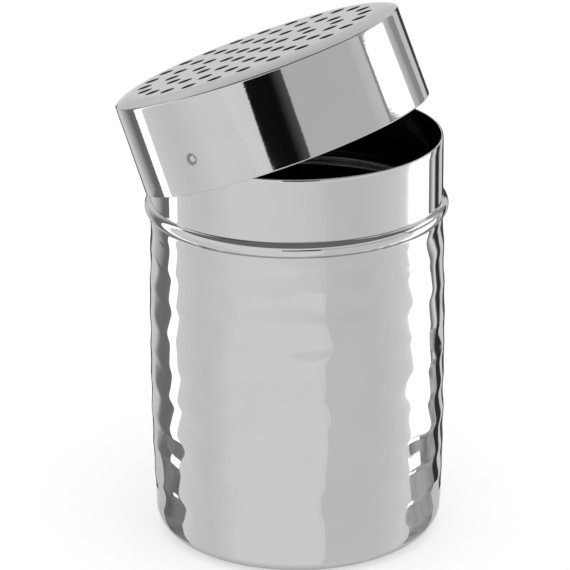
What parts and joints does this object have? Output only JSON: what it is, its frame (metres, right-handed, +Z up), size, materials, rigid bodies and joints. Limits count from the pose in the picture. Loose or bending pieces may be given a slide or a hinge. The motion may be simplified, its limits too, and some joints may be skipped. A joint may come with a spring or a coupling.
{
  "type": "spice shaker",
  "caption": "Round steel shaker with a hammered wall, a rolled bead and a smooth neck, and a perforated push-on lid tipped on the bead, for sprinkling dry spices.",
  "frame": {"origin": "centre of the flat base, on the surface that the shaker stands on", "axes": "+Z is up along the body's axis; the lid's low edge lies on the bead at -X, so the lid leans towards -X and its open side faces +X"},
  "size_m": [0.0793, 0.0724, 0.1302],
  "materials": {
    "hammered_steel": "hammered and polished to a mirror shine",
    "polished_steel": "polished, with fine lines round the skirt"
  },
  "bodies": {
    "body": {"shaker_body": "hammered_steel"},
    "lid": {"perforated_lid": "polished_steel"}
  },
  "joints": [
    {"name": "lid_lift", "type": "slide", "parent": "body", "child": "lid", "axis": [0, 0, 1], "range_m": [0, 0.04]}
  ]
}
